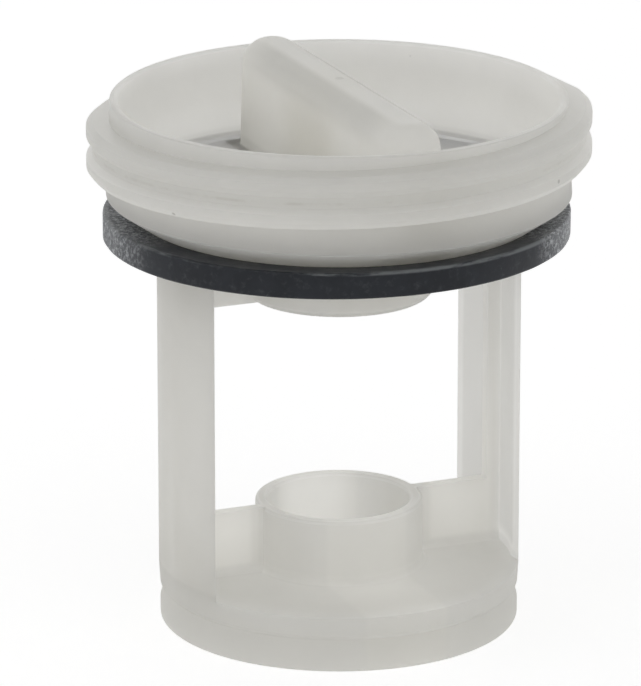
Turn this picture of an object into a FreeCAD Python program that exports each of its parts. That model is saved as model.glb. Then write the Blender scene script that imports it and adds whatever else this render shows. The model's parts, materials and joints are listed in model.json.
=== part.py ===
# Pump filter of a washing machine: a screw cap and its filter cage in one moulding, and a rubber seal.
import FreeCAD, Part
import math
import os

import Sketcher

# Driving dimensions, in millimetres and degrees. The origin is the centre of the base ring's underside.
SIZES = {
    # Base ring: a hollow skirt, a little inside the legs, with a floor on top and a groove round it
    "base_inset": 0.15,
    "base_height": 7.3,
    "base_wall": 1.6,
    "base_floor": 1.6,
    "groove_foot": 2.4,
    "groove_height": 4.2,
    "groove_top": 4.75,
    "groove_depth": 0.75,
    # Open tube that stands in the middle of the base
    "tube_radius": 10.76,
    "tube_wall": 1.62,
    "tube_height": 8.56,
    # Two curved legs with the webs that tie them to the tube and the boss
    "leg_wall": 0.9,
    "leg_depth": 2.25,
    "web_thickness": 1.6,
    "leg_rib_depth": 1.9,
    # Cap: shoulder, spigot for the seal, neck with an undercut foot, bowl and the boss below
    "shoulder_height": 54.1,
    "shoulder_width": 6.35,
    "spigot_height": 2.9,
    "spigot_wall": 1.6,
    "undercut_height": 2.55,
    "undercut_depth": 3.7,
    "neck_height": 14.95,
    "neck_taper": 0.55,
    "rim_wall": 1.0,
    "bowl_floor": 3.1,
    "bowl_taper": 0.85,
    "boss_radius": 12.1,
    "boss_depth": 10.8,
    "core_roof": 2.5,
    # External thread, right-handed, one start; its crest sets the radii of the neck and the cage.
    # Its shoulders and feet are measured from the middle of the crest
    "thread_radius": 32.0,
    "thread_height": 2.45,
    "thread_pitch": 4.0,
    "thread_crest": 1.1,
    "lower_shoulder": 1.35,
    "lower_shoulder_drop": 0.65,
    "lower_foot": 2.0,
    "upper_shoulder": 1.2,
    "upper_shoulder_drop": 0.8,
    "upper_foot": 1.5,
    "thread_overlap": 0.672,
    "thread_rise": 6.48,
    "thread_start_angle": 128.0,
    "thread_bite": 0.55,
    "runout_step": 0.2,
    # Grip bar across the bowl, cored from below
    "grip_gap": 1.05,
    "grip_thickness": 7.7,
    "grip_proud": 2.25,
    "grip_draft": 1.5,
    "grip_wall": 2.3,
    "grip_core_gap": 1.1,
    # Broken edges, and the round on top of the grip bar
    "rim_edge": 0.25,
    "bowl_edge": 0.8,
    "boss_edge": 0.6,
    "tube_edge": 0.3,
    "base_edge": 0.4,
    "grip_round": 3.4,
    # Seal ring, a little proud of the neck, with a lip that rises beyond the shoulder
    "seal_lip": 0.2,
    "seal_thickness": 3.0,
    "seal_rise": 0.4,
    "seal_clearance": 0.1,
}

# Radii that follow from the driving dimensions, from the thread's crest inwards
NECK_RADIUS = "(Sizes.thread_radius - Sizes.thread_height)"
RIM_RADIUS = f"({NECK_RADIUS} - Sizes.neck_taper)"
RIM_INSIDE = f"({RIM_RADIUS} - Sizes.rim_wall)"
BOWL_RADIUS = f"({RIM_INSIDE} - Sizes.bowl_taper)"
LEG_RADIUS = f"({NECK_RADIUS} - Sizes.shoulder_width)"
LEG_INSIDE = f"({LEG_RADIUS} - Sizes.leg_wall)"
LEG_EDGE = f"({LEG_RADIUS} - Sizes.leg_depth)"
BASE_RADIUS = f"({LEG_RADIUS} - Sizes.base_inset)"
SHOULDER_RADIUS = f"({NECK_RADIUS} - Sizes.undercut_depth)"
SEAL_RADIUS = f"({NECK_RADIUS} + Sizes.seal_lip)"
SEAL_BORE = f"({LEG_RADIUS} + Sizes.seal_clearance)"
CORE_RADIUS = "(Sizes.tube_radius - Sizes.tube_wall)"
VALLEY_RADIUS = "(Sizes.thread_radius - Sizes.upper_shoulder_drop)"
THREAD_BED = f"({RIM_INSIDE} + Sizes.thread_bite)"

# Heights that follow from them, from the floor of the base upwards
BASE_UNDERSIDE = "(Sizes.base_height - Sizes.base_floor)"
TUBE_TOP = "(Sizes.base_height + Sizes.tube_height)"
BOSS_FOOT = "(Sizes.shoulder_height - Sizes.boss_depth)"
SPIGOT_FOOT = "(Sizes.shoulder_height - Sizes.spigot_height)"
BOWL_BOTTOM = "(Sizes.shoulder_height + Sizes.bowl_floor)"
CORE_TOP = f"({BOWL_BOTTOM} - Sizes.core_roof)"
NECK_FOOT = "(Sizes.shoulder_height + Sizes.undercut_height)"
RIM_TOP = "(Sizes.shoulder_height + Sizes.neck_height)"
GRIP_TOP = f"({RIM_TOP} + Sizes.grip_proud)"

# Size of the grip bar at its root, which the draft makes wider than its top
GRIP_HEIGHT = f"({GRIP_TOP} - {BOWL_BOTTOM})"
GRIP_SPREAD = f"(2 * {GRIP_HEIGHT} * tan(Sizes.grip_draft * 1 deg))"
GRIP_ROOT_THICKNESS = f"(Sizes.grip_thickness + {GRIP_SPREAD})"
GRIP_ROOT_LENGTH = f"(2 * ({BOWL_RADIUS} - Sizes.grip_gap) + {GRIP_SPREAD})"
GRIP_CORE_LENGTH = f"(2 * ({CORE_RADIUS} - Sizes.grip_core_gap))"

ORIGIN_POINT = (-1, 1)
ALONG_Z = FreeCAD.Vector(0, 0, 1)
SAME_PLACE = 1e-6

doc = FreeCAD.newDocument("pump_filter")


def make_sheet():
    """Spreadsheet with one named cell for each driving dimension."""
    table = doc.addObject("Spreadsheet::Sheet", "Sizes")
    for row, (name, size) in enumerate(SIZES.items(), start=1):
        table.set(f"A{row}", name)
        table.set(f"B{row}", str(size))
        table.setAlias(f"B{row}", name)
    doc.recompute()
    return table


sheet = make_sheet()


def number(expression):
    """Value of an expression on the sheet's cells."""
    result = sheet.evalExpression(expression)
    return float(getattr(result, "Value", result))


def origin_item(body, role):
    """Plane or axis of a body's own origin."""
    return next(item for item in body.Origin.OriginFeatures if item.Role == role)


def new_sketch(body, name, plane, lift=None, turn=None):
    """Sketch on an origin plane; lift is an expression along Z, and turn one about Z."""
    sketch = body.newObject("Sketcher::SketchObject", name)
    sketch.AttachmentSupport = [(origin_item(body, plane), "")]
    sketch.MapMode = "FlatFace"
    if lift:
        sketch.setExpression("AttachmentOffset.Base.z", lift)
    if turn:
        upright = ALONG_Z if plane == "XY_Plane" else FreeCAD.Vector(0, 1, 0)
        swing = FreeCAD.Rotation(upright, number(turn))
        sketch.AttachmentOffset = FreeCAD.Placement(FreeCAD.Vector(), swing)
        sketch.setExpression("AttachmentOffset.Rotation.Angle", turn)
    return sketch


def drive(sketch, constraint, expression):
    """Add a dimension and bind it to the sheet."""
    index = sketch.addConstraint(constraint)
    sketch.setExpression(f"Constraints[{index}]", expression)


def place_point(sketch, line, end, across, up):
    """Fix one end of a line at two expressions measured from the sketch's origin."""
    vertical_axis, horizontal_axis = -2, -1
    places = (("DistanceX", vertical_axis, across), ("DistanceY", horizontal_axis, up))
    for kind, axis, expression in places:
        if expression == "0":
            sketch.addConstraint(Sketcher.Constraint("PointOnObject", line, end, axis))
        else:
            size = number(expression)
            drive(sketch, Sketcher.Constraint(kind, *ORIGIN_POINT, line, end, size), expression)


def polygon(sketch, corners):
    """Closed outline of straight lines through corners given as pairs of expressions."""
    points = [FreeCAD.Vector(number(across), number(up), 0) for across, up in corners]
    lines = []
    for start, end in zip(points, points[1:] + points[:1]):
        lines.append(sketch.addGeometry(Part.LineSegment(start, end), False))
    for line, following in zip(lines, lines[1:] + lines[:1]):
        sketch.addConstraint(Sketcher.Constraint("Coincident", line, 2, following, 1))
    for line, (across, up) in zip(lines, corners):
        place_point(sketch, line, 1, across, up)


def stadium(sketch, length, thickness):
    """Slot outline with half-round ends, centred on the origin and long along the sketch's vertical."""
    radius = number(thickness) / 2
    reach = number(length) / 2 - radius
    centre = FreeCAD.Vector(0, reach, 0)
    side = FreeCAD.Vector(radius, 0, 0)
    outline = [
        Part.ArcOfCircle(Part.Circle(centre, ALONG_Z, radius), 0, math.pi),
        Part.LineSegment(centre - side, -centre - side),
        Part.ArcOfCircle(Part.Circle(-centre, ALONG_Z, radius), math.pi, 2 * math.pi),
        Part.LineSegment(side - centre, side + centre),
    ]
    loop = [sketch.addGeometry(item, False) for item in outline]
    far, _, near, _ = loop
    for item, following in zip(loop, loop[1:] + loop[:1]):
        sketch.addConstraint(Sketcher.Constraint("Tangent", item, 2, following, 1))
    vertical_axis = -2
    sketch.addConstraint(Sketcher.Constraint("PointOnObject", far, 3, vertical_axis))
    sketch.addConstraint(Sketcher.Constraint("Symmetric", far, 3, near, 3, *ORIGIN_POINT))
    drive(sketch, Sketcher.Constraint("Radius", far, radius), f"{thickness} / 2")
    spacing = Sketcher.Constraint("DistanceY", *ORIGIN_POINT, far, 3, reach)
    drive(sketch, spacing, f"({length} - {thickness}) / 2")


def ring_segment(sketch, inside, outside, edge):
    """Part of a ring about the origin that lies beyond a straight upright edge."""
    small, large, cut = number(inside), number(outside), number(edge)
    centre = FreeCAD.Vector()
    arcs = []
    for radius in (large, small):
        reach = math.acos(cut / radius)
        arc = Part.ArcOfCircle(Part.Circle(centre, ALONG_Z, radius), -reach, reach)
        arcs.append(sketch.addGeometry(arc, False))
    outer, inner = arcs
    for end in (1, 2):
        start, stop = sketch.getPoint(outer, end), sketch.getPoint(inner, end)
        line = sketch.addGeometry(Part.LineSegment(start, stop), False)
        sketch.addConstraint(Sketcher.Constraint("Coincident", line, 1, outer, end))
        sketch.addConstraint(Sketcher.Constraint("Coincident", line, 2, inner, end))
        sketch.addConstraint(Sketcher.Constraint("Vertical", line))
        drive(sketch, Sketcher.Constraint("DistanceX", *ORIGIN_POINT, line, 1, cut), edge)
    for arc, radius in ((outer, outside), (inner, inside)):
        sketch.addConstraint(Sketcher.Constraint("Coincident", arc, 3, *ORIGIN_POINT))
        drive(sketch, Sketcher.Constraint("Radius", arc, number(radius)), radius)


def revolve(body, name, sketch):
    """Full turn of a sketch about the body's Z axis."""
    turned = body.newObject("PartDesign::Revolution", name)
    turned.Profile = sketch
    turned.ReferenceAxis = (sketch, ["V_Axis"])
    turned.Angle = 360
    doc.recompute()
    return turned


def extrude(body, kind, name, sketch, length, **settings):
    """Pad or Pocket whose length is an expression."""
    feature = body.newObject(f"PartDesign::{kind}", name)
    feature.Profile = sketch
    feature.setExpression("Length", length)
    for setting, value in settings.items():
        setattr(feature, setting, value)
    doc.recompute()
    return feature


def dress_edges(body, kind, name, base, size, wanted):
    """Fillet or Chamfer on the edges of a feature for which wanted(edge) is true."""
    names = [f"Edge{index}" for index, edge in enumerate(base.Shape.Edges, start=1) if wanted(edge)]
    dressed = body.newObject(f"PartDesign::{kind}", name)
    dressed.Base = (base, names)
    dressed.setExpression("Radius" if kind == "Fillet" else "Size", size)
    doc.recompute()
    return dressed


def is_circle(edge, radius, height):
    """Whether an edge is a circle about the Z axis with that radius and height."""
    curve = edge.Curve
    if not isinstance(curve, Part.Circle):
        return False
    return abs(curve.Radius - radius) < SAME_PLACE and abs(curve.Center.z - height) < SAME_PLACE


def bevel(body, name, base, *circles):
    """Chamfer on circles given as radius and height; the feature is named after its size."""
    places = [(number(radius), number(height)) for radius, height in circles]

    def wanted(edge):
        return any(is_circle(edge, *place) for place in places)
    return dress_edges(body, "Chamfer", name, base, f"Sizes.{name}", wanted)


def make_cap(body):
    """Bowl, neck, shoulder, spigot and cored boss as one turned profile with bevelled edges."""
    profile = new_sketch(body, "cap_profile", "XZ_Plane")
    spigot_inside = f"{LEG_RADIUS} - Sizes.spigot_wall"
    polygon(profile, [
        ("0", BOWL_BOTTOM),
        (BOWL_RADIUS, BOWL_BOTTOM),
        (RIM_INSIDE, RIM_TOP),
        (RIM_RADIUS, RIM_TOP),
        (NECK_RADIUS, NECK_FOOT),
        (SHOULDER_RADIUS, "Sizes.shoulder_height"),
        (LEG_RADIUS, "Sizes.shoulder_height"),
        (LEG_RADIUS, SPIGOT_FOOT),
        (spigot_inside, SPIGOT_FOOT),
        (spigot_inside, "Sizes.shoulder_height"),
        ("Sizes.boss_radius", "Sizes.shoulder_height"),
        ("Sizes.boss_radius", BOSS_FOOT),
        (CORE_RADIUS, BOSS_FOOT),
        (CORE_RADIUS, CORE_TOP),
        ("0", CORE_TOP),
    ])
    cap = revolve(body, "cap", profile)
    cap = bevel(body, "rim_edge", cap, (RIM_INSIDE, RIM_TOP), (RIM_RADIUS, RIM_TOP))
    cap = bevel(body, "bowl_edge", cap, (BOWL_RADIUS, BOWL_BOTTOM))
    return bevel(body, "boss_edge", cap, ("Sizes.boss_radius", BOSS_FOOT))


def make_leg(body):
    """One curved leg between the base floor and the spigot, cut straight at the window's edges."""
    section = new_sketch(body, "leg_section", "XY_Plane", lift="Sizes.base_height")
    ring_segment(section, LEG_INSIDE, LEG_RADIUS, LEG_EDGE)
    return extrude(body, "Pad", "leg", section, f"{SPIGOT_FOOT} - Sizes.base_height")


def make_base(body):
    """Base ring with its groove, floor and open centre tube as one turned profile."""
    profile = new_sketch(body, "base_profile", "XZ_Plane")
    skirt_inside = f"{BASE_RADIUS} - Sizes.base_wall"
    polygon(profile, [
        (CORE_RADIUS, BASE_UNDERSIDE),
        (CORE_RADIUS, TUBE_TOP),
        ("Sizes.tube_radius", TUBE_TOP),
        ("Sizes.tube_radius", "Sizes.base_height"),
        (LEG_RADIUS, "Sizes.base_height"),
        (BASE_RADIUS, "Sizes.groove_top"),
        (f"{BASE_RADIUS} - Sizes.groove_depth", "Sizes.groove_height"),
        (BASE_RADIUS, "Sizes.groove_foot"),
        (BASE_RADIUS, "0"),
        (skirt_inside, "0"),
        (skirt_inside, BASE_UNDERSIDE),
    ])
    base = revolve(body, "base", profile)
    base = bevel(body, "tube_edge", base, (CORE_RADIUS, TUBE_TOP), ("Sizes.tube_radius", TUBE_TOP))
    return bevel(body, "base_edge", base, (BASE_RADIUS, "0"))


def make_web(body):
    """Web of one side: from the tube out to the leg, up the leg as a rib, and in again to the boss."""
    outline = new_sketch(body, "web_outline", "XZ_Plane")
    tube_middle = "Sizes.tube_radius - Sizes.tube_wall / 2"
    boss_middle = f"(Sizes.boss_radius + {CORE_RADIUS}) / 2"
    leg_middle = f"{LEG_RADIUS} - Sizes.leg_wall / 2"
    rib_edge = f"{LEG_INSIDE} - Sizes.leg_rib_depth"
    polygon(outline, [
        (tube_middle, "Sizes.base_height"),
        (leg_middle, "Sizes.base_height"),
        (leg_middle, "Sizes.shoulder_height"),
        (boss_middle, "Sizes.shoulder_height"),
        (boss_middle, BOSS_FOOT),
        (rib_edge, BOSS_FOOT),
        (rib_edge, TUBE_TOP),
        (tube_middle, TUBE_TOP),
    ])
    return extrude(body, "Pad", "web", outline, "Sizes.web_thickness", SideType="Symmetric")


def pattern_sides(body, originals):
    """Repeat the leg and its web on the other side of the axis."""
    sides = body.newObject("PartDesign::PolarPattern", "both_sides")
    sides.Originals = originals
    sides.Axis = (origin_item(body, "Z_Axis"), [""])
    sides.Angle = 360
    sides.Occurrences = 2
    body.Tip = sides
    doc.recompute()
    return sides


def make_grip(body):
    """Grip bar with drafted sides and rounded top, cored from below through the boss."""
    foot = new_sketch(body, "grip_foot", "XY_Plane", lift=BOWL_BOTTOM)
    stadium(foot, GRIP_ROOT_LENGTH, GRIP_ROOT_THICKNESS)
    bar = extrude(body, "Pad", "grip", foot, GRIP_HEIGHT)
    bar.setExpression("TaperAngle", "-Sizes.grip_draft")
    doc.recompute()
    top = number(GRIP_TOP) - SAME_PLACE

    def on_top(edge):
        return edge.BoundBox.ZMin > top
    dress_edges(body, "Fillet", "grip_edges", bar, "Sizes.grip_round", on_top)
    core = new_sketch(body, "grip_core_foot", "XY_Plane", lift=CORE_TOP)
    stadium(core, GRIP_CORE_LENGTH, "(Sizes.grip_thickness - 2 * Sizes.grip_wall)")
    depth = f"{GRIP_TOP} - Sizes.grip_wall - {CORE_TOP}"
    return extrude(body, "Pocket", "grip_core", core, depth, Reversed=True)


def thread_middle(turns):
    """Height of the crest's middle after some turns, given as an expression."""
    return f"(Sizes.shoulder_height + Sizes.thread_rise + {turns} * Sizes.thread_pitch)"


def make_thread(body, name, start, turns, upper_flank):
    """Stretch of thread from a start to a number of turns; upper_flank ends its section above the crest."""
    turn = f"Sizes.thread_start_angle + 360 * {start}"
    section = new_sketch(body, f"{name}_section", "XZ_Plane", turn=turn)
    middle = thread_middle(start)
    flank = [(radius, f"{middle} + {rise}") for radius, rise in upper_flank]
    polygon(section, [
        (THREAD_BED, f"{middle} - Sizes.lower_foot"),
        ("Sizes.thread_radius - Sizes.lower_shoulder_drop", f"{middle} - Sizes.lower_shoulder"),
        ("Sizes.thread_radius", f"{middle} - Sizes.thread_crest / 2"),
        ("Sizes.thread_radius", f"{middle} + Sizes.thread_crest / 2"),
        (VALLEY_RADIUS, f"{middle} + Sizes.upper_shoulder"),
        *flank,
    ])
    thread = body.newObject("PartDesign::AdditiveHelix", name)
    thread.Profile = section
    thread.ReferenceAxis = (section, ["V_Axis"])
    thread.Mode = "pitch-turns-angle"
    thread.setExpression("Pitch", "Sizes.thread_pitch")
    thread.setExpression("Turns", turns)
    doc.recompute()
    return thread


def make_runout(body, name, turns, side, above, below):
    """Flat that cuts the thread's end down to the neck; side is 1 at its start, -1 at its end."""
    middle = thread_middle(turns)
    above_foot = f"({middle} - {NECK_FOOT}) / (Sizes.neck_height - Sizes.undercut_height)"
    flat = f"({NECK_RADIUS} - Sizes.neck_taper * {above_foot} + Sizes.runout_step)"
    length = f"sqrt(Sizes.thread_radius ^ 2 - {flat} ^ 2)"
    beyond = "(Sizes.thread_radius + Sizes.runout_step)"
    turn = f"Sizes.thread_start_angle + 360 * {turns}"
    top = f"{above} + Sizes.runout_step"
    region = new_sketch(body, f"{name}_region", "XY_Plane", lift=f"{middle} + {top}", turn=turn)
    polygon(region, [
        (flat, f"{-side} * Sizes.runout_step"),
        (beyond, f"{-side} * Sizes.runout_step"),
        (beyond, f"{side} * {length}"),
        (flat, f"{side} * {length}"),
    ])
    return extrude(body, "Pocket", name, region, f"{top} + {below}")


def make_screw(body):
    """The whole thread: a lower stretch whose valley reaches the turn above it, and that full turn."""
    overlap = "Sizes.thread_overlap"
    valley = "(Sizes.thread_pitch - Sizes.lower_shoulder)"
    filled = [(VALLEY_RADIUS, valley), (THREAD_BED, valley)]
    make_thread(body, "lower_thread", "0", overlap, filled)
    make_runout(body, "thread_start", "0", 1, valley, "Sizes.lower_foot")
    make_thread(body, "upper_thread", overlap, "1", [(THREAD_BED, "Sizes.upper_foot")])
    to_valley = "(Sizes.thread_pitch - Sizes.upper_shoulder)"
    make_runout(body, "thread_end", f"({overlap} + 1)", -1, "Sizes.upper_foot", to_valley)


def make_filter_body():
    """The whole moulding: cap, cage and base."""
    body = doc.addObject("PartDesign::Body", "filter_body")
    body.Label = "filter_body"
    make_cap(body)
    leg = make_leg(body)
    make_base(body)
    web = make_web(body)
    pattern_sides(body, [leg, web])
    make_grip(body)
    make_screw(body)
    return body


def make_seal_ring():
    """Rubber ring on the spigot, flat against the shoulder and rising beyond it."""
    body = doc.addObject("PartDesign::Body", "seal_ring")
    body.Label = "seal_ring"
    section = new_sketch(body, "seal_section", "XZ_Plane")
    seal_foot = "Sizes.shoulder_height - Sizes.seal_thickness"
    polygon(section, [
        (SEAL_BORE, seal_foot),
        (SEAL_RADIUS, seal_foot),
        (SEAL_RADIUS, "Sizes.shoulder_height + Sizes.seal_rise"),
        (SHOULDER_RADIUS, "Sizes.shoulder_height"),
        (SEAL_BORE, "Sizes.shoulder_height"),
    ])
    revolve(body, "ring", section)
    return body


def check_document():
    """Stop if any object of the document failed to build."""
    for item in doc.Objects:
        if {"Invalid", "Error"} & set(item.State):
            raise RuntimeError(f"{item.Name} failed: {item.State}")


def write_parts(bodies):
    """Write each sub-part's solid to its own file."""
    os.makedirs("parts", exist_ok=True)
    for body in bodies:
        shape = body.Shape
        if shape.isNull() or not shape.isValid() or len(shape.Solids) != 1:
            raise RuntimeError(f"{body.Label} is not one valid solid")
    for body in bodies:
        body.Shape.exportStep(os.path.join("parts", f"{body.Label}.step"))


parts = [make_filter_body(), make_seal_ring()]
doc.recompute()
check_document()
write_parts(parts)
for part in parts:
    print(part.Label, "volume", round(part.Shape.Volume, 1))
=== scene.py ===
"""Looks of the washer pump filter: natural polypropylene with painted shade and highlights, a scuffed rubber
seal with a painted highlight and sheen, and a bright studio.
"""
import json
import math

import bmesh
import bpy
from mathutils import Matrix, Vector, noise

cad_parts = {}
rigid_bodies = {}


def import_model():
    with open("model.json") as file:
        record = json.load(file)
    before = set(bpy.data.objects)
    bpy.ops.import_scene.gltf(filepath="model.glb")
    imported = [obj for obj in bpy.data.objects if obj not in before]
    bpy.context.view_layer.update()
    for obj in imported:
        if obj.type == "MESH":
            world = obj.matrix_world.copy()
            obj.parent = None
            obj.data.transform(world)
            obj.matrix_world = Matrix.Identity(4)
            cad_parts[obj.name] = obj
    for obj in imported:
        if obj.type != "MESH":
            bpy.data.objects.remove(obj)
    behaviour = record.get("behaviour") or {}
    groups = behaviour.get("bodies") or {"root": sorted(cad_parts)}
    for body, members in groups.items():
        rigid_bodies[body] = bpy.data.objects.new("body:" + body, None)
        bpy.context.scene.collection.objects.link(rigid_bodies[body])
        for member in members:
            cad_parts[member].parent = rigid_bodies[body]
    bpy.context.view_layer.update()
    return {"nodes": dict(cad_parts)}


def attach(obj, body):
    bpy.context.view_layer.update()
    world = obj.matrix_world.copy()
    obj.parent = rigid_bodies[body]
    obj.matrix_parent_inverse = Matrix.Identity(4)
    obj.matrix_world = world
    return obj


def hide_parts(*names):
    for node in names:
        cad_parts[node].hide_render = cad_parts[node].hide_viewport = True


for leftover in list(bpy.data.objects):
    bpy.data.objects.remove(leftover)
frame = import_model()

MM = 0.001

# Camera that matches the photograph: it turns about a point near the middle of the filter
IMAGE_HEIGHT = 686
FOCAL_PIXELS = 6269.2
SENSOR = 36.0
CAMERA_DISTANCE = 801.0 * MM
CAMERA_ELEVATION = math.radians(17.256)
CAMERA_AZIMUTH = math.radians(-22.5)
AIM_ACROSS = -2.35 * MM
AIM_HEIGHT = 36.37 * MM
CLIP_START = 0.05
CLIP_END = 20

# Studio: each lamp has its azimuth from the camera's side and its elevation, in degrees, and its power
FLOOR_HALF = 3.0
FLOOR_GLOW = 0.3
FLOOR_GLOW_SEEN = 0.72
FLOOR_COLOURS = ((0.79, 0.79, 0.79, 1), (0.81, 0.81, 0.81, 1))
FLOOR_COLOUR_SEEN = (0.5, 0.5, 0.5, 1)
WORLD_STRENGTH = 0.41
LAMP_DISTANCE = 0.9
LAMP_SIZE = 0.9
LAMPS = {
    "key": (35, 60, 0.75),
    "side": (-65, 45, 1.05),
    "back_left": (-150, 14, 0.75),
    "back_right": (150, 14, 0.6),
}

# Heights of the moulding: its base's floor, and the underside of its cap's shoulder
BASE_TOP = 7.3 * MM
SHOULDER = 54.1 * MM

# Rounding of the moulding's edges
EDGE_ROUND = 0.18 * MM
EDGE_STEPS = 2
BLEND_ROUND = 0.9 * MM
BLEND_STEPS = 4
EDGE_ANGLE = math.radians(28)
EDGE_MARK = "outward_edge"
FLAT_ANGLE = math.radians(0.2)
MERGE_DISTANCE = 0.001 * MM
BASE_FLOOR_RADIUS = 21.0 * MM
BASE_FLOOR_MARGIN = 0.1 * MM
CRISP_RADIUS = 28.95 * MM
CRISP_HEIGHT = SHOULDER + 1.5 * MM

# Thread: middle of its crest at the start, the start's place as a share of a turn, and its pitch; then, as
# shares of the pitch, the valley's height above the crest, and where its painted shade starts and is full
THREAD_START = 60.58 * MM
THREAD_TURN = 128 / 360
THREAD_PITCH = 4.0 * MM
THREAD_VALLEY = 0.46
VALLEY_SHADE_EDGE = (0.07, 0.015)

# Mark left by the gate on top of the grip bar
GATE_PLACE = (0.0, 0.0, 71.3 * MM)
GATE_RADIUS = 0.75 * MM
GATE_DEPTH = 0.15 * MM

# Surfaces of the moulding: each lies where all its ramps are up. A ramp has a measure of the point, and the
# two values in millimetres between which it goes from 0 to 1.
SURFACES = {
    "base": [("height", 9.0, 7.6)],
    "base_floor": [("over_base", 0.02, 0.15), ("radius", 21.5, 20.5)],
    "tube": [("radius", 13.0, 12.0), ("height", 7.4, 9.0), ("height", 30.0, 20.0)],
    "webs": [("radius", 11.2, 11.8), ("radius", 21.5, 20.5), ("height", 7.6, 9.0), ("height", 30.0, 20.0)],
    "legs": [("radius", 22.2, 22.8), ("over_shoulder", 0.0, -1.0)],
    # Painted shade goes on the legs' inner faces.
    "leg_inner_face": [
        ("across", 16.0, 18.0), ("radius", 22.8, 22.2), ("off_legs", 0.8, 1.1),
        ("height", 8.0, 10.0), ("over_shoulder", 0.0, -1.0),
    ],
    "cage": [("over_shoulder", 0.0, -0.5), ("over_base", 0.5, 1.5)],
    "boss": [("radius", 14.0, 12.5), ("height", 30.0, 40.0), ("over_shoulder", 0.0, -0.5)],
    # Painted shade goes on the cone under the cap's shoulder, above the dark seal.
    "cone": [("over_shoulder", 2.64, 2.56), ("over_shoulder", -0.1, 0.0)],
    "thread": [("radius", 29.6, 30.4)],
    "cap_wall": [("radius", 28.5, 28.9), ("height", 58.5, 62.0)],
    "cap_outside": [("radius", 28.4, 28.9), ("height", 59.0, 64.0)],
    "cap_top": [("radius", 28.4, 28.9), ("height", 65.5, 67.5)],
    # The cap's side with more light, where its painted shade is less.
    "cap_lit_side": [("across", 22.0, 31.0)],
    "bowl": [("radius", 29.1, 28.9), ("height", 60.0, 62.0)],
    "bowl_floor": [("radius", 26.9, 26.6), ("height", 60.0, 58.0), ("over_shoulder", -0.15, -0.05)],
    # Painted shade goes in the bowl's inner corner.
    "bowl_corner": [("radius", 28.4, 28.0), ("height", 58.9, 58.2), ("over_shoulder", 0.0, 0.5)],
    "bar": [("radius", 26.5, 25.5), ("off_bar", 6.0, 5.0)],
    "bar_foot": [("radius", 26.5, 25.5), ("off_bar", 6.0, 5.0), ("height", 69.0, 64.0)],
    # Band along the bar below its crown, painted with shade.
    "bar_shade_band": [
        ("off_bar", 6.0, 5.0), ("off_legs", 27.0, 14.0), ("height", 66.8, 70.3), ("height", 71.35, 70.9),
    ],
    # The bar's crown, painted with a highlight.
    "bar_crown": [("height", 71.12, 71.36)],
}

# Share of light through thin and through thick plastic, how thick the cap's wall counts, and what others add
LIGHT_THIN = 0.62
LIGHT_THICK = 0.02
WALL_THICKNESS = 0.2
LIGHT_ADDED = {"webs": 0.3, "bar_foot": 0.24}

# Painted shade and a darker tone on the moulding's surfaces: painted shade on the cone, in the bowl's corner,
# on the legs' inner faces, along the bar below its crown and on the cap's top, with less of it on the cap's
# lit side; a darker tone on the base (less on its floor), legs, tube, boss and the cap's outside
SHADE_AND_TONE = {
    "legs": 0.45, "leg_inner_face": 1.4, "tube": 0.42, "boss": 0.55, "cone": 3.2, "bar_shade_band": 1.6,
    "bowl_corner": 0.6,
}
CAP_SHADE_AND_TONE = 1.25
CAP_TOP_SHADE_ADDED = 0.35
CAP_LIT_SIDE_LESS = 0.5
BASE_FLOOR_LESS = 0.45

# Colours of the plastic, as it reflects light and as it lets light through; each lies between two
PLASTIC_COLOURS = ((0.745, 0.737, 0.708, 1), (0.775, 0.767, 0.738, 1))
PLASTIC_CLEAR = ((0.945, 0.94, 0.92, 1), (0.965, 0.96, 0.94, 1))
PLASTIC_DEPTH = 25.0 * MM

# Noise patterns on the plastic: scale, detail, roughness, and the noise values where it starts and is full
PLASTIC_CLOUD = (90, 4, 0.6, 0.3, 0.7)
PLASTIC_SCUFF = (420, 5, 0.65, 0.45, 0.75)
# Patches of the bowl's edges that get a painted highlight
HIGHLIGHT_PATCHES = (45, 2, 0.5, 0.42, 0.62)
# Patches of the thread's valley that get painted shade
VALLEY_SHADE_PATCHES = (160, 5, 0.65, 0.45, 0.62)
SPECK_PATCHES = (140, 1, 0.5, 0.6, 0.66)
SPECK_SCALE = 210.0
SPECK_EDGE = (0.075, 0.03)

# Unevenness of the plastic: scale, detail and roughness of a noise, then its depth and strength
PLASTIC_GRAIN = (900, 3, 0.55, 0.02 * MM, 0.6)
PLASTIC_WAVES = (60, 2, 0.5, 0.12 * MM, 0.5)

# Marks on the plastic, in the order in which they lie on it: strength and tint. They are painted shade with a
# darker tone, a painted highlight on edges and the bar's crown, painted shade in the thread's valley, real
# dark specks, and the gate's mark.
PLASTIC_MARKS = {
    "shade_and_tone": (0.23, (0.45, 0.447, 0.425, 1)),
    "edge_highlight": (0.4, (0.98, 0.98, 0.97, 1)),
    "valley_shade": (0.18, (0.42, 0.38, 0.33, 1)),
    "specks": (0.4, (0.16, 0.15, 0.13, 1)),
    "gate": (0.15, (0.36, 0.35, 0.32, 1)),
}

# Seal ring: flat under the cap's shoulder, with a lip that rises beyond it, leans up on one side and slips
# towards the other
SEAL_FOOT = 51.1 * MM
SEAL_TOP = SHOULDER
LIP_TOP = 54.5 * MM
SEAL_BORE = 23.3 * MM
SHOULDER_RADIUS = 25.85 * MM
SEAL_RADIUS = 29.75 * MM
SEAL_CORNER = 0.35 * MM
SEAL_CORNER_STEPS = 4
SEAL_STEPS = 360
SEAL_LEAN = 0.2 * MM
SEAL_SLIP = -0.3 * MM
SEAL_LEAN_AT = math.radians(-22.5)
SEAL_WEAR = 0.1 * MM
SEAL_WEAR_SCALE = 260

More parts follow.
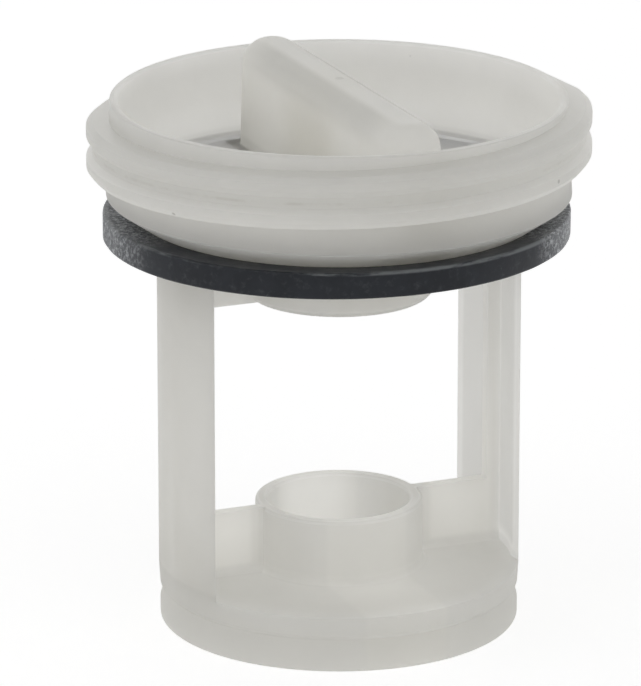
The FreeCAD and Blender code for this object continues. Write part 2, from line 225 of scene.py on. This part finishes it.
# Places on the seal, near its two sides as the camera sees it, that are painted pale: partly dried, crackled
# rubber and partly painted sheen; each with how strongly
CRACKLE_AND_SHEEN_REACH = 12.5 * MM
CRACKLE_AND_SHEEN_CORE = CRACKLE_AND_SHEEN_REACH * 0.3
CRACKLE_AND_SHEEN_PLACES = [(math.radians(-33), 1.9), (math.radians(173), 1.0)]

# Where the lip's outside and its edge start and are full
LIP_OUTSIDE = (SEAL_RADIUS - 0.65 * MM, SEAL_RADIUS - 0.3 * MM)
LIP_EDGE = (LIP_TOP - 0.5 * MM, LIP_TOP - 0.2 * MM)

# Colour of the rubber, which lies between two, and its marks in the order in which they lie on it; the rubbed
# lip is partly wear and partly a painted highlight, and the dry places and their crackle are partly real and
# partly painted sheen
RUBBER_COLOURS = ((0.008, 0.010, 0.014, 1), (0.018, 0.021, 0.027, 1))
RUBBER_MARKS = {
    "streaks": (0.3, (0.12, 0.13, 0.14, 1)),
    "rubbed_and_highlight": (0.6, (0.24, 0.255, 0.26, 1)),
    "dry_and_sheen": (0.24, (0.3, 0.31, 0.33, 1)),
    "crackle_and_sheen": (0.85, (0.62, 0.64, 0.66, 1)),
}

# Noise patterns and unevenness of the rubber, as for the plastic; some are drawn out along the ring
RUBBER_CLOUD = (150, 4, 0.6, 0.35, 0.7)
RUBBER_STREAKS = (900, 5, 0.7, 0.5, 0.8)
# Patches of the lip that are worn and painted with a highlight
RUBBED_AND_HIGHLIGHT_PATCHES = (420, 5, 0.7, 0.455, 0.59)
CRACKLE_LINES = (1700, 6, 0.75, 0.46, 0.62)
RUBBER_GRAIN = (1400, 3, 0.6, 0.03 * MM, 0.7)
RUBBER_FOLDS = (300, 4, 0.6, 0.1 * MM, 0.6)
CRACKLE_DEPTH = 0.1 * MM
DRAWN_OUT = 0.16


class Nodes:
    """Short way to write a material's node tree."""

    def __init__(self, name):
        self.material = bpy.data.materials.new(name)
        self.material.use_nodes = True
        self.tree = self.material.node_tree
        self.tree.nodes.clear()
        self.output = self.tree.nodes.new("ShaderNodeOutputMaterial")

    def add(self, kind, inputs=None, **settings):
        """New node with its settings and inputs; an input is a value or another node's output."""
        node = self.tree.nodes.new(kind)
        for name, value in settings.items():
            setattr(node, name, value)
        for name, value in (inputs or {}).items():
            self.link(node.inputs[name], value)
        return node

    def link(self, socket, value):
        """Set an input, or connect it."""
        if isinstance(value, bpy.types.NodeSocket):
            self.tree.links.new(value, socket)
        else:
            socket.default_value = value

    def place(self):
        """Point on the surface, in metres in the shared frame."""
        return self.add("ShaderNodeTexCoord").outputs["Object"]

    def noise(self, scale, detail, roughness, place):
        """Noise value from 0 to 1, with features about 1 / scale metres across."""
        inputs = {"Vector": place, "Scale": scale, "Detail": detail, "Roughness": roughness}
        return self.add("ShaderNodeTexNoise", inputs).outputs["Fac"]

    def pattern(self, place, scale, detail, roughness, low, high):
        """Noise that goes from 0 to 1 between two of its values."""
        return self.ramp(self.noise(scale, detail, roughness, place), low, high)

    def ramp(self, value, low, high, start=0.0, end=1.0):
        """Value mapped smoothly from low..high to start..end."""
        inputs = {"Value": value, "From Min": low, "From Max": high, "To Min": start, "To Max": end}
        return self.add("ShaderNodeMapRange", inputs, interpolation_type="SMOOTHSTEP").outputs["Result"]

    def between(self, share, start, end):
        """Value that a share from 0 to 1 picks between two."""
        inputs = {"Value": share, "To Min": start, "To Max": end}
        return self.add("ShaderNodeMapRange", inputs).outputs["Result"]

    def math(self, operation, first, second=0.0):
        """Result of a Math node."""
        node = self.add("ShaderNodeMath", operation=operation)
        self.link(node.inputs[0], first)
        self.link(node.inputs[1], second)
        return node.outputs[0]

    def combine(self, operation, values):
        """Result of a Math node's operation over several values in turn."""
        result = values[0]
        for value in values[1:]:
            result = self.math(operation, result, value)
        return result

    def mix(self, factor, first, second):
        """Colour between two colours."""
        node = self.add("ShaderNodeMix", data_type="RGBA")
        self.link(node.inputs["Factor"], factor)
        self.link(node.inputs[6], first)
        self.link(node.inputs[7], second)
        return node.outputs[2]

    def marked(self, colour, marks, tints):
        """Colour with marks laid on it in turn, each with a strength and a tint."""
        for name, (strength, tint) in tints.items():
            colour = self.mix(self.math("MULTIPLY", marks[name], strength), colour, tint)
        return colour

    def uneven(self, place, scale, detail, roughness, distance, strength, normal=None):
        """Normal bent by noise."""
        return self.bump(self.noise(scale, detail, roughness, place), distance, strength, normal)

    def bump(self, height, distance, strength, normal=None):
        """Normal bent by a height of 0 to 1 that stands for a distance in metres."""
        inputs = {"Height": height, "Distance": distance, "Strength": strength}
        node = self.add("ShaderNodeBump", inputs)
        if normal:
            self.link(node.inputs["Normal"], normal)
        return node.outputs["Normal"]

    def axes(self, place):
        """The three numbers of a point."""
        return self.add("ShaderNodeSeparateXYZ", {"Vector": place}).outputs

    def distance(self, first, second):
        """Distance between two points."""
        node = self.add("ShaderNodeVectorMath", operation="DISTANCE")
        self.link(node.inputs[0], first)
        self.link(node.inputs[1], second)
        return node.outputs["Value"]

    def turn(self, place):
        """Angle of a point about the filter's axis."""
        axes = self.axes(place)
        return self.math("ARCTAN2", axes["Y"], axes["X"])

    def radius(self, place):
        """Distance of a point from the filter's axis."""
        flat = self.add("ShaderNodeVectorMath", {0: place, 1: (1, 1, 0)}, operation="MULTIPLY")
        length = self.add("ShaderNodeVectorMath", {0: flat.outputs["Vector"]}, operation="LENGTH")
        return length.outputs["Value"]

    def glowing(self, colour, strength):
        """Matt surface that also gives off white light."""
        matt = self.add("ShaderNodeBsdfDiffuse", {"Color": colour}).outputs["BSDF"]
        glow = self.add("ShaderNodeEmission", {"Color": (1, 1, 1, 1), "Strength": strength})
        both = self.add("ShaderNodeAddShader")
        self.link(both.inputs[0], matt)
        self.link(both.inputs[1], glow.outputs["Emission"])
        return both.outputs["Shader"]

    def mix_shaders(self, factor, first, second):
        """Shader between two shaders."""
        both = self.add("ShaderNodeMixShader", {"Fac": factor})
        self.link(both.inputs[1], first)
        self.link(both.inputs[2], second)
        return both.outputs["Shader"]

    def surface(self, shader):
        """Use a shader as the material's surface."""
        self.link(self.output.inputs["Surface"], shader)
        return self.material


class Moulding:
    """Masks for the moulding's surfaces, by the place of a point on it."""

    def __init__(self, nodes, place):
        self.nodes = nodes
        self.place = place
        axes = nodes.axes(place)
        self.measures = {
            "radius": nodes.radius(place),
            "height": axes["Z"],
            "over_base": nodes.math("SUBTRACT", axes["Z"], BASE_TOP),
            "over_shoulder": nodes.math("SUBTRACT", axes["Z"], SHOULDER),
            "across": axes["X"],
            "off_bar": nodes.math("ABSOLUTE", axes["X"]),
            "off_legs": nodes.math("ABSOLUTE", axes["Y"]),
        }

    def on(self, name, amount=1.0):
        """An amount on a named surface and 0 off it, with a smooth step between."""
        ramps = [
            self.nodes.ramp(self.measures[measure], start * MM, full * MM)
            for measure, start, full in SURFACES[name]
        ]
        return self.nodes.combine("MULTIPLY", ramps + [amount])

    def off(self, name, amount=1.0):
        """1 off a named surface, and less by an amount on it."""
        return self.nodes.math("SUBTRACT", 1.0, self.on(name, amount))

    def thread_valley(self):
        """1 along the bottom of the thread's valley, where its painted shade goes, and 0 elsewhere."""
        nodes = self.nodes
        turns = nodes.math("MULTIPLY", nodes.turn(self.place), 1 / (2 * math.pi))
        rise = nodes.math("SUBTRACT", self.measures["height"], THREAD_START)
        rise = nodes.math("MULTIPLY", rise, 1 / THREAD_PITCH)
        phase = nodes.math("ADD", nodes.math("SUBTRACT", rise, turns), THREAD_TURN + 2)
        off_valley = nodes.math("SUBTRACT", nodes.math("FRACT", phase), THREAD_VALLEY)
        off_valley = nodes.math("ABSOLUTE", off_valley)
        return nodes.math("MULTIPLY", self.on("thread"), nodes.ramp(off_valley, *VALLEY_SHADE_EDGE))

    def light_through(self):
        """Share of light that goes through: least at the bowl's floor and the cone, most in the webs."""
        nodes = self.nodes
        floor = nodes.math("MULTIPLY", self.on("bowl_floor"), self.off("bar"))
        thick = nodes.combine("MAXIMUM", [floor, self.on("cone"), self.on("cap_wall", WALL_THICKNESS)])
        share = nodes.ramp(thick, 0.0, 1.0, LIGHT_THIN, LIGHT_THICK)
        return nodes.combine("ADD", [share] + [self.on(name, added) for name, added in LIGHT_ADDED.items()])

    def shade_and_tone(self):
        """How much painted shade and darker tone the plastic gets at a place: that of its surface, or the
        most where several meet.
        """
        nodes = self.nodes
        base = nodes.math("MULTIPLY", self.on("base"), self.off("base_floor", BASE_FLOOR_LESS))
        cap = nodes.math("ADD", self.on("cap_outside"), self.on("cap_top", CAP_TOP_SHADE_ADDED))
        cap = nodes.combine("MULTIPLY", [cap, self.off("cap_lit_side", CAP_LIT_SIDE_LESS), CAP_SHADE_AND_TONE])
        others = [self.on(name, amount) for name, amount in SHADE_AND_TONE.items()]
        return nodes.combine("MAXIMUM", [base, cap] + others)

    def edge_highlight(self):
        """Painted highlight: 1 on the bar's crown and the rounded edges of the cage, and in patches on those
        of the bowl.
        """
        nodes = self.nodes
        rounding = nodes.add("ShaderNodeAttribute", attribute_name=EDGE_MARK).outputs["Fac"]
        bowl = nodes.math("MULTIPLY", self.on("bowl"), nodes.pattern(self.place, *HIGHLIGHT_PATCHES))
        edges = nodes.math("MULTIPLY", rounding, nodes.math("MAXIMUM", self.on("cage"), bowl))
        return nodes.math("MAXIMUM", edges, self.on("bar_crown"))


def polypropylene():
    """Natural polypropylene: milky, satin, a little cloudy, with dark specks, the gate's mark, painted shade
    in the thread's valley and on shaded surfaces, and painted highlights on edges.
    """
    nodes = Nodes("natural_polypropylene")
    place = nodes.place()
    moulding = Moulding(nodes, place)
    cloud = nodes.pattern(place, *PLASTIC_CLOUD)
    speck_field = nodes.add("ShaderNodeTexVoronoi", {"Vector": place, "Scale": SPECK_SCALE})
    specks = nodes.ramp(speck_field.outputs["Distance"], *SPECK_EDGE)
    # Marks: painted shade with a darker tone, a painted highlight, painted shade in the thread's valley, real
    # specks and the gate's mark
    marks = {
        "shade_and_tone": moulding.shade_and_tone(),
        "edge_highlight": moulding.edge_highlight(),
        "valley_shade": nodes.math("MULTIPLY", moulding.thread_valley(), nodes.pattern(place, *VALLEY_SHADE_PATCHES)),
        "specks": nodes.math("MULTIPLY", specks, nodes.pattern(place, *SPECK_PATCHES)),
        "gate": nodes.ramp(nodes.distance(place, GATE_PLACE), GATE_RADIUS, GATE_RADIUS * 0.5),
    }
    colour = nodes.marked(nodes.mix(cloud, *PLASTIC_COLOURS), marks, PLASTIC_MARKS)
    clear = nodes.marked(nodes.mix(cloud, *PLASTIC_CLEAR), marks, PLASTIC_MARKS)
    normal = nodes.uneven(place, *PLASTIC_GRAIN)
    normal = nodes.uneven(place, *PLASTIC_WAVES, normal)
    normal = nodes.bump(marks["gate"], -GATE_DEPTH, 0.8, normal)
    milky = nodes.add("ShaderNodeBsdfPrincipled", {
        "Base Color": colour,
        "Roughness": nodes.between(nodes.pattern(place, *PLASTIC_SCUFF), 0.3, 0.45),
        "IOR": 1.49,
        "Specular IOR Level": 1.0,
        "Subsurface Weight": 1.0,
        "Subsurface Radius": (1.0, 0.99, 0.94),
        "Subsurface Scale": PLASTIC_DEPTH,
        "Normal": normal,
    })
    through = nodes.add("ShaderNodeBsdfTranslucent", {"Color": clear, "Normal": normal})
    return nodes.surface(
        nodes.mix_shaders(moulding.light_through(), milky.outputs["BSDF"], through.outputs["BSDF"]))


def rubber():
    """Black rubber, greyed partly by handling and partly by painted sheen: faint streaks, a thin lip that is
    partly worn and partly a painted highlight, and pale crackle at two places that is partly real and partly
    painted sheen.
    """
    nodes = Nodes("worn_rubber_and_sheen")
    place = nodes.place()
    height = nodes.axes(place)["Z"]
    radius = nodes.radius(place)
    girth = nodes.math("MULTIPLY", nodes.turn(place), SEAL_RADIUS)
    wrapped = {"X": nodes.math("MULTIPLY", girth, DRAWN_OUT), "Y": radius, "Z": height}
    wrapped = nodes.add("ShaderNodeCombineXYZ", wrapped).outputs["Vector"]
    cloud = nodes.pattern(place, *RUBBER_CLOUD)
    lip = nodes.math("MULTIPLY", nodes.ramp(radius, *LIP_OUTSIDE), nodes.ramp(height, *LIP_EDGE))
    # Pale spots near the seal's two sides: partly dried rubber, partly painted sheen
    dry_and_sheen_places = []
    for turn, strength in CRACKLE_AND_SHEEN_PLACES:
        spot = (SEAL_RADIUS * math.cos(turn), SEAL_RADIUS * math.sin(turn), SEAL_TOP)
        dry_and_sheen_places.append(nodes.ramp(nodes.distance(place, spot), CRACKLE_AND_SHEEN_REACH, CRACKLE_AND_SHEEN_CORE, 0.0, strength))
    dry_and_sheen = nodes.combine("MAXIMUM", dry_and_sheen_places)
    # Marks: real streaks, a lip partly worn and partly painted highlight, and pale places partly dried and
    # crackled, partly painted sheen
    marks = {
        "streaks": nodes.pattern(place, *RUBBER_STREAKS),
        "rubbed_and_highlight": nodes.math("MULTIPLY", lip, nodes.pattern(wrapped, *RUBBED_AND_HIGHLIGHT_PATCHES)),
        "dry_and_sheen": dry_and_sheen,
        "crackle_and_sheen": nodes.math("MULTIPLY", dry_and_sheen, nodes.pattern(place, *CRACKLE_LINES)),
    }
    normal = nodes.uneven(place, *RUBBER_GRAIN)
    normal = nodes.uneven(wrapped, *RUBBER_FOLDS, normal)
    normal = nodes.bump(marks["crackle_and_sheen"], CRACKLE_DEPTH, 0.8, normal)
    shader = nodes.add("ShaderNodeBsdfPrincipled", {
        "Base Color": nodes.marked(nodes.mix(cloud, *RUBBER_COLOURS), marks, RUBBER_MARKS),
        "Roughness": nodes.between(cloud, 0.38, 0.55),
        "Specular IOR Level": 0.25,
        "Sheen Weight": 0.1,
        "Sheen Roughness": 0.4,
        "Sheen Tint": (0.85, 0.9, 1.0, 1),
        "Normal": normal,
    })
    return nodes.surface(shader.outputs["BSDF"])


def studio_floor():
    """Pale glowing floor that the camera sees as white, with the object's shadow on it."""
    nodes = Nodes("studio_floor")
    grain = nodes.mix(nodes.noise(6, 3, 0.5, nodes.place()), *FLOOR_COLOURS)
    lit = nodes.glowing(grain, FLOOR_GLOW)
    seen = nodes.glowing(FLOOR_COLOUR_SEEN, FLOOR_GLOW_SEEN)
    path = nodes.add("ShaderNodeLightPath").outputs
    looked_at = nodes.combine(
        "MAXIMUM", [path["Is Camera Ray"], path["Is Glossy Ray"], path["Is Transmission Ray"]])
    return nodes.surface(nodes.mix_shaders(looked_at, lit, seen))


def new_object(name, mesh, material):
    """Link a mesh into the scene with its material."""
    mesh.materials.clear()
    mesh.materials.append(material)
    item = bpy.data.objects.new(name, mesh)
    bpy.context.scene.collection.objects.link(item)
    return item


def sharp_edges(shape):
    """Edges whose two faces turn by more than the limit."""
    return [edge for edge in shape.edges if edge.is_manifold and edge.calc_face_angle() > EDGE_ANGLE]


def middle_of(edge):
    """Height of an edge's middle, and its distance from the filter's axis."""
    middle = (edge.verts[0].co + edge.verts[1].co) / 2
    return middle.z, math.hypot(middle.x, middle.y)


def is_blended(edge):
    """An inward corner that the mould rounds more: where the tube and webs stand on the base's floor."""
    height, radius = middle_of(edge)
    on_floor = abs(height - BASE_TOP) < BASE_FLOOR_MARGIN and radius < BASE_FLOOR_RADIUS
    return on_floor and edge.calc_face_angle_signed() < 0


def is_crisp(edge):
    """An edge on the outside of the cap, where the thread's ends leave no room for a rounding."""
    height, radius = middle_of(edge)
    return height > CRISP_HEIGHT and radius > CRISP_RADIUS


def round_off(shape, edges, width, steps):
    """Round edges to a width, and give back the new faces."""
    rounding = bmesh.ops.bevel(
        shape, geom=edges, offset=width, offset_type="OFFSET", segments=steps, profile=0.5, affect="EDGES",
        clamp_overlap=False)
    return rounding["faces"]


def soften_edges(mesh):
    """Join the faces of a CAD mesh, round its sharp edges but the crisp ones, and mark the outward ones."""
    shape = bmesh.new()
    shape.from_mesh(mesh)
    bmesh.ops.remove_doubles(shape, verts=shape.verts, dist=MERGE_DISTANCE)
    bmesh.ops.dissolve_limit(
        shape, angle_limit=FLAT_ANGLE, verts=shape.verts, edges=shape.edges, use_dissolve_boundaries=False)
    mark = shape.faces.layers.float.new(EDGE_MARK)
    round_off(shape, [edge for edge in sharp_edges(shape) if is_blended(edge)], BLEND_ROUND, BLEND_STEPS)
    for edge in sharp_edges(shape):
        if is_crisp(edge):
            edge.smooth = False
    soft_edges = [edge for edge in sharp_edges(shape) if edge.smooth]
    for face in round_off(shape, soft_edges, EDGE_ROUND, EDGE_STEPS):
        bends = [edge.calc_face_angle_signed() for edge in face.edges if edge.is_manifold]
        face[mark] = 1.0 if sum(bends) > 0 else 0.0
    for face in shape.faces:
        face.smooth = True
    shape.to_mesh(mesh)
    shape.free()


def make_body():
    """The moulding with softened edges, in place of its CAD solid."""
    source = frame["nodes"]["filter_body"]
    mesh = source.data.copy()
    mesh.name = "moulding"
    soften_edges(mesh)
    body = new_object("moulding", mesh, polypropylene())
    smooth = body.modifiers.new("even_shading", "WEIGHTED_NORMAL")
    smooth.keep_sharp = True
    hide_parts("filter_body")
    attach(body, "root")


def rounded(corners, radius, steps):
    """Outline with each corner replaced by an arc-like curve that starts at a distance from it."""
    points = []
    for index, corner in enumerate(corners):
        before = corner + (corners[index - 1] - corner).normalized() * radius
        after = corner + (corners[(index + 1) % len(corners)] - corner).normalized() * radius
        for step in range(steps + 1):
            part = step / steps
            points.append(before.lerp(corner, part).lerp(corner.lerp(after, part), part))
    return points


def lean(radius, height, turn):
    """Shift of a point of the seal: its lip leans and slips aside, and its inner part stays in place."""
    start = SEAL_BORE if height < (SEAL_FOOT + SEAL_TOP) / 2 else SHOULDER_RADIUS
    share = max(0.0, (radius - start) / (SEAL_RADIUS - start))
    slip = SEAL_SLIP * share
    rise = SEAL_LEAN * share * math.cos(turn - SEAL_LEAN_AT)
    return Vector((slip * math.cos(SEAL_LEAN_AT), slip * math.sin(SEAL_LEAN_AT), rise))


def make_seal():
    """Rubber ring with soft corners and a leaning, slightly uneven lip, in place of its CAD solid."""
    corners = [
        Vector((SEAL_BORE, SEAL_FOOT)),
        Vector((SEAL_RADIUS, SEAL_FOOT)),
        Vector((SEAL_RADIUS, LIP_TOP)),
        Vector((SHOULDER_RADIUS, SEAL_TOP)),
        Vector((SEAL_BORE, SEAL_TOP)),
    ]
    profile = rounded(corners, SEAL_CORNER, SEAL_CORNER_STEPS)
    shape = bmesh.new()
    rings = []
    for step in range(SEAL_STEPS):
        turn = 2 * math.pi * step / SEAL_STEPS
        across, along = math.cos(turn), math.sin(turn)
        ring = []
        for radius, height in profile:
            spot = Vector((radius * across, radius * along, height))
            wear = 0.5 + 0.5 * noise.noise(spot * SEAL_WEAR_SCALE)
            inset = Vector((across, along, 0)) * SEAL_WEAR * wear
            ring.append(shape.verts.new(spot - inset + lean(radius, height, turn)))
        rings.append(ring)
    count = len(profile)
    for ring, following in zip(rings, rings[1:] + rings[:1]):
        for index in range(count):
            beyond = (index + 1) % count
            shape.faces.new((ring[index], following[index], following[beyond], ring[beyond])).smooth = True
    bmesh.ops.recalc_face_normals(shape, faces=shape.faces)
    mesh = bpy.data.meshes.new("seal")
    shape.to_mesh(mesh)
    shape.free()
    seal = new_object("seal", mesh, rubber())
    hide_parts("seal_ring")
    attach(seal, "root")


def make_floor():
    """Floor that reaches past the camera's view."""
    shape = bmesh.new()
    bmesh.ops.create_grid(shape, x_segments=8, y_segments=8, size=FLOOR_HALF)
    mesh = bpy.data.meshes.new("floor")
    shape.to_mesh(mesh)
    shape.free()
    new_object("floor", mesh, studio_floor())


def make_lamp(name, azimuth, elevation, power):
    """Square soft lamp that looks at the middle of the filter; azimuth 0 is the camera's side."""
    angle = CAMERA_AZIMUTH + math.radians(azimuth)
    height = math.radians(elevation)
    level = math.cos(height)
    back = Vector((math.sin(angle) * level, -math.cos(angle) * level, math.sin(height)))
    data = bpy.data.lights.new(name, "AREA")
    data.size = LAMP_SIZE
    data.energy = power
    lamp = bpy.data.objects.new(name, data)
    lamp.location = Vector((0, 0, AIM_HEIGHT)) + back * LAMP_DISTANCE
    lamp.rotation_mode = "QUATERNION"
    lamp.rotation_quaternion = back.to_track_quat("Z", "Y")
    bpy.context.scene.collection.objects.link(lamp)


def make_world():
    """Even surroundings that light the object at one strength and look white."""
    world = bpy.data.worlds.new("studio")
    world.use_nodes = True
    tree = world.node_tree
    background = tree.nodes["Background"]
    background.inputs["Color"].default_value = (1, 1, 1, 1)
    path = tree.nodes.new("ShaderNodeLightPath").outputs
    looked_at = path["Is Camera Ray"]
    for kind in ("Is Glossy Ray", "Is Transmission Ray"):
        either = tree.nodes.new("ShaderNodeMath")
        either.operation = "MAXIMUM"
        tree.links.new(looked_at, either.inputs[0])
        tree.links.new(path[kind], either.inputs[1])
        looked_at = either.outputs[0]
    level = tree.nodes.new("ShaderNodeMapRange")
    level.inputs["To Min"].default_value = WORLD_STRENGTH
    level.inputs["To Max"].default_value = 1.0
    tree.links.new(looked_at, level.inputs["Value"])
    tree.links.new(level.outputs["Result"], background.inputs["Strength"])
    bpy.context.scene.world = world


def make_camera():
    """Camera at the photograph's viewing angle."""
    data = bpy.data.cameras.new("camera")
    data.sensor_width = SENSOR
    data.lens = FOCAL_PIXELS / IMAGE_HEIGHT * SENSOR
    data.clip_start = CLIP_START
    data.clip_end = CLIP_END
    camera = bpy.data.objects.new("camera", data)
    turn = Matrix.Rotation(CAMERA_AZIMUTH, 3, "Z")
    aim = turn @ Vector((AIM_ACROSS, 0, AIM_HEIGHT))
    back = turn @ Vector((0, -math.cos(CAMERA_ELEVATION), math.sin(CAMERA_ELEVATION)))
    camera.location = aim + back * CAMERA_DISTANCE
    camera.rotation_mode = "QUATERNION"
    camera.rotation_quaternion = (-back).to_track_quat("-Z", "Y")
    bpy.context.scene.collection.objects.link(camera)
    bpy.context.scene.camera = camera


make_body()
make_seal()
make_floor()
make_world()
for lamp_name, (lamp_azimuth, lamp_elevation, lamp_power) in LAMPS.items():
    make_lamp(lamp_name, lamp_azimuth, lamp_elevation, lamp_power)
make_camera()
bpy.context.scene.view_settings.view_transform = "Standard"
